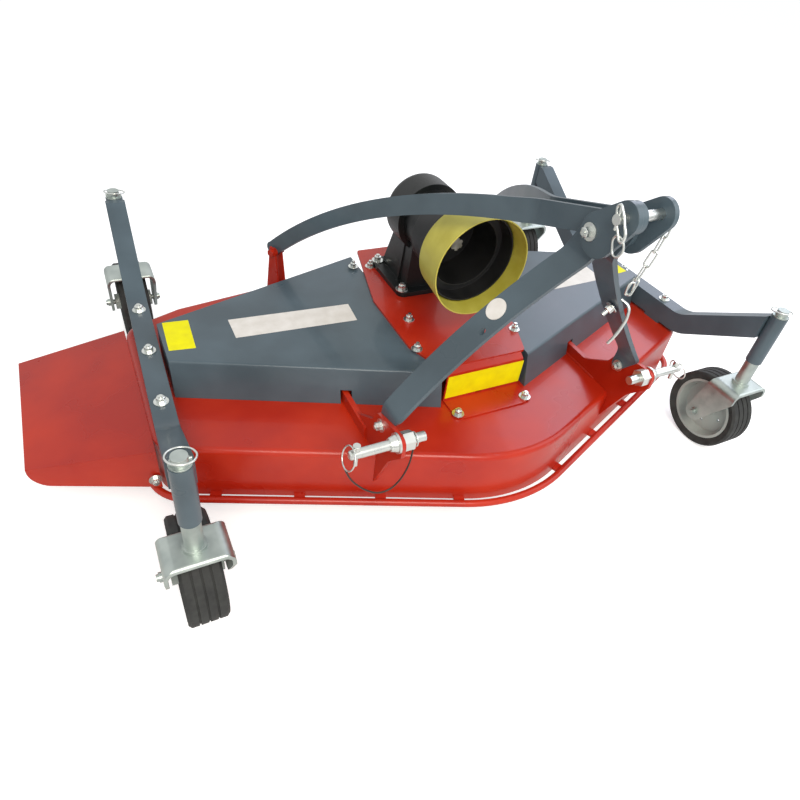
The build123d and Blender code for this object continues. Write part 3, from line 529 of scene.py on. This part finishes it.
def make_lanyard():
    """Limp cable along its route, as a smooth spline that the route's points guide."""
    data = bpy.data.curves.new("lanyard", "CURVE")
    data.dimensions = "3D"
    spline = data.splines.new("NURBS")
    spline.points.add(len(LANYARD) - 1)
    for spot, (x, z) in zip(spline.points, LANYARD):
        spot.co = at(-x, 0.0, z).to_4d()
    spline.order_u = 3
    spline.use_endpoint_u = True
    spline.resolution_u = 12
    data.bevel_depth = LANYARD_DIAMETER / 2
    data.bevel_resolution = 4
    data.use_fill_caps = True
    data.materials.append(CABLE)
    piece = stand("lanyard", data)
    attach(piece, "frame")
    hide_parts("lanyard_left")
    x, z = LANYARD[0]


make_lanyard()

# Bolts. The side beams close in a little towards the back.
UP = (0, 0, 1)
SIDES = (-1, 1)
BEAM_BOLT_YS = (338.0, 530.0, 712.0)
beam_lean = (FRONT_POST[0] - REAR_POST[0]) / (REAR_POST[1] - FRONT_POST[1])
bolts("beam_bolts",
      [(side * (FRONT_POST[0] - beam_lean * (y - FRONT_POST[1])), y, BEAM_TOP, UP, 18.0)
       for side in SIDES for y in BEAM_BOLT_YS], stud=0.25)
bolts("apron_bolts", [(side * 102.0, 141.0, APRON_FOOT_TOP, UP, 17.0) for side in SIDES], stud=0.3)
bolts("plate_studs",
      [(x, y, PLATE_TOP, UP, 16.0)
       for x, y in ((-111, 427), (-150, 302), (-149, 726), (-100, 714), (150, 445), (150, 302),
                    (149, 700))], stud=0.5)
bolts("flange_bolts",
      [(x, y, FLANGE_TOP, UP, 19.0) for x in (-74, 74) for y in (551, 719)], stud=0.3)
bolts("mast_bolts", [(side * 45.0, -34.0, 835.0, (side, 0, 0), 18.0) for side in SIDES], stud=0.2)
bolts("link_bolts", [(side * 351.0, 80.0, 356.0, (side, 0, 0), 17.0) for side in SIDES], stud=0.2)
bolts("link_nuts", [(side * 332.0, 80.0, 356.0, (-side, 0, 0), 17.0) for side in SIDES], stud=0.25)
bolts("chute_bolts", [(-812.0, 271.0, 158.0, (0, -1, 0), 16.0)], stud=0.3)
bolts("leg_hole_nut", [(162.0, 30.0, 600.0, (-0.775, 0, -0.633), 16.0)], stud=0.9)

# Clips and rings of spring wire, and the safety chain on the right of the top pin
wire("leg_clip", [(182, 30, 616), (192, 12, 606), (192, 5, 588), (187, 4, 560), (177, 6, 532),
                  (172, 12, 512)], 3.5)
wire("mast_clip", [(-60, -92, 912), (-60, -102, 906), (-60, -115, 888), (-60, -124, 870),
                   (-60, -119, 860), (-60, -106, 872), (-60, -96, 888)], 2.6, closed=True)
wire("mast_clip_leg", [(-60, -99, 872), (-60, -99, 890), (-60, -97, 911)], 3.2)
wire("mast_ring", [(-57, -110, 866), (-54, -123, 854), (-52, -121, 836), (-51, -107, 828),
                   (-52, -98, 842), (-55, -99, 858)], 2.0, closed=True)
chain("safety_chain", [(52, -110, 884), (52, -109, 852), (52, -104, 820), (52, -97, 788),
                       (51, -91, 756), (44, -90, 728), (36, -96, 752)], pitch=40.0)

# Weld beads along both faces of each hitch plate, on the deck
for side, hand in ((-1, "left"), (1, "right")):
    for face, x in (("outer", 352.5), ("inner", 340.5)):
        seam = [(side * x, y, DECK_TOP + 1.5) for y in (146.0, 220.0, 289.0)]
        run_tree("weld_" + hand + "_" + face, curve_source(seam), BEAD,
                 {"Radius": 2.6 * MM, "Material": RED}, "frame", smooth=True)


# Blank labels

def label(name, outline, thick, material):
    """A thin plate on a flat outline of the drawing frame. It stands up from it by thick,
    on the side from which the outline runs anticlockwise."""
    points = [at(*corner) for corner in outline]
    normal = (points[1] - points[0]).cross(points[3] - points[0]).normalized()
    mesh = bpy.data.meshes.new(name)
    bm = bmesh.new()
    low = [bm.verts.new(point) for point in points]
    high = [bm.verts.new(point + normal * thick * MM) for point in points]
    bm.faces.new(high)
    bm.faces.new(low[::-1])
    for i, corner in enumerate(low):
        bm.faces.new((low[i - 1], corner, high[i], high[i - 1]))
    bmesh.ops.recalc_face_normals(bm, faces=bm.faces)
    bm.to_mesh(mesh)
    bm.free()
    return place(name, mesh, "frame", material)


def on_cover(*corners):
    return [(x, y, COVER_TOP) for x, y in corners]


FILM = 0.4
label("blank_label_white_left", on_cover((-560, 486), (-242, 473), (-236, 551), (-560, 567)),
      FILM, WHITE_VINYL)
label("blank_label_yellow_left", on_cover((-720, 481), (-659, 474), (-653, 594), (-715, 599)),
      FILM, YELLOW_VINYL)
label("blank_label_white_right", on_cover((282, 449), (600, 462), (600, 543), (276, 527)),
      FILM, WHITE_VINYL)
label("blank_label_yellow_right", on_cover((659, 474), (720, 481), (715, 599), (653, 594)),
      FILM, YELLOW_VINYL)
label("blank_label_apron", [(-110, 198, 266), (118, 198, 266), (118, 198, 336), (-110, 198, 336)],
      FILM, YELLOW_VINYL)

# The round one lies on the outer face of the left leg, half of its thickness sunk in
LEG_FACE = (-0.775, 0.0, 0.633)
LEG_LABEL_PLACE = (-145.59, 43.0, 643.0)
LEG_LABEL_ACROSS = 46.0
LEG_LABEL_THICK = 3.0
sunk = Vector(LEG_LABEL_PLACE) - Vector(LEG_FACE).normalized() * LEG_LABEL_THICK / 2
label("blank_label_leg", ring_points(sunk, LEG_FACE, LEG_LABEL_ACROSS / 2, count=48),
      LEG_LABEL_THICK, WHITE_VINYL)

# The sprung ring of each linch pin, laid over the head of its caster's spindle
RING_SHIFT = (3.4, 5.3)
RING_LEAN = (0.1, 0.18, 1.0)
for corner_name, (x, y) in CASTERS.items():
    middle = (x + RING_SHIFT[0], y + RING_SHIFT[1], POST_RING_HEIGHT)
    wire("post_ring_" + corner_name, ring_points(middle, RING_LEAN, 26.0, count=8), 1.9,
         closed=True, body="caster_" + corner_name)


# Black bell that lines the yellow guard and shows as a dark drum from the front:
# radius about the PTO shaft and y of each corner of its section
BELL = ((117.5, 350), (118.0, 402), (92.0, 402), (92.0, 398), (113.0, 397), (114.5, 350))
BELL_STEPS = 96
SHARP_ANGLE = math.radians(35.0)


def make_bell():
    mesh = bpy.data.meshes.new("guard_liner")
    bm = bmesh.new()
    angles = [2 * math.pi * i / BELL_STEPS for i in range(BELL_STEPS)]
    rings = [[bm.verts.new(at(r * math.cos(a), y, PTO_HEIGHT + r * math.sin(a))) for r, y in BELL]
             for a in angles]
    for i, ring in enumerate(rings):
        for j in range(len(BELL)):
            bm.faces.new((rings[i - 1][j - 1], ring[j - 1], ring[j], rings[i - 1][j]))
    bmesh.ops.recalc_face_normals(bm, faces=bm.faces)
    bm.to_mesh(mesh)
    bm.free()
    place("guard_liner", mesh, "frame", BLACK_PLASTIC)
    mesh.set_sharp_from_angle(angle=SHARP_ANGLE)


make_bell()


# Floor, light and background

WHITE = (1.0, 1.0, 1.0, 1.0)
SOFT_LIGHT = 0.55
FLOOR_GLOW = 0.55
FLOOR_RADIUS = 60.0
FLOOR_DROP = 0.0005


def background():
    """White for the camera and for what reflects it or lets it through, and a plain soft
    light on the rest."""
    world = bpy.data.worlds.new("studio")
    bpy.context.scene.world = world
    world.use_nodes = True
    tree = world.node_tree
    tree.nodes.clear()
    rays = add(tree, "ShaderNodeLightPath").outputs
    seen = rays["Is Camera Ray"]
    for kind in ("Is Glossy Ray", "Is Transmission Ray"):
        seen = add(tree, "ShaderNodeMath", {"operation": "MAXIMUM"}, _0=seen,
                   _1=rays[kind]).outputs[0]
    soft = add(tree, "ShaderNodeBackground", Color=linear("f4f7fb"), Strength=SOFT_LIGHT)
    white = add(tree, "ShaderNodeBackground", Color=WHITE, Strength=1.0)
    mixed = add(tree, "ShaderNodeMixShader", _0=seen, _1=soft.outputs[0], _2=white.outputs[0])
    add(tree, "ShaderNodeOutputWorld", Surface=mixed.outputs[0])


def floor():
    """Matt pale floor. A glow for the camera alone makes it white and keeps the shadow."""
    mesh = bpy.data.meshes.new("floor")
    bm = bmesh.new()
    bmesh.ops.create_circle(bm, cap_ends=True, segments=96, radius=FLOOR_RADIUS)
    bm.to_mesh(mesh)
    bm.free()
    piece = stand("floor", mesh)
    piece.location.z = -FLOOR_DROP
    material, tree = new_material("pale_floor")
    rays = add(tree, "ShaderNodeLightPath").outputs
    matt = add(tree, "ShaderNodeBsdfDiffuse", Color=linear("f2f2f1")).outputs[0]
    glow = add(tree, "ShaderNodeEmission", Color=WHITE, Strength=FLOOR_GLOW).outputs[0]
    both = add(tree, "ShaderNodeAddShader", _0=matt, _1=glow).outputs[0]
    mixed = add(tree, "ShaderNodeMixShader", _0=rays["Is Camera Ray"], _1=matt, _2=both)
    add(tree, "ShaderNodeOutputMaterial", Surface=mixed.outputs[0])
    mesh.materials.append(material)


def lamp(name, spot, aim, size, power, tint):
    """A round soft lamp at one point of the drawing frame, aimed at another. Size in metres."""
    data = bpy.data.lights.new(name, "AREA")
    data.shape = "DISK"
    data.size = size
    data.energy = power
    data.color = linear(tint)[:3]
    start = at(*spot)
    turned = (at(*aim) - start).to_track_quat("-Z", "Y").to_matrix().to_4x4()
    stand(name, data).matrix_world = Matrix.Translation(start) @ turned


background()
floor()
lamp("key", (-900, -2300, 3000), (0, 400, 250), size=2.2, power=110.0, tint="fff6ea")
lamp("fill", (2600, -900, 2200), (0, 400, 250), size=2.6, power=30.0, tint="eef4ff")
lamp("back", (3500, 2400, 3000), (0, 400, 300), size=2.4, power=45.0, tint="e6e8ff")
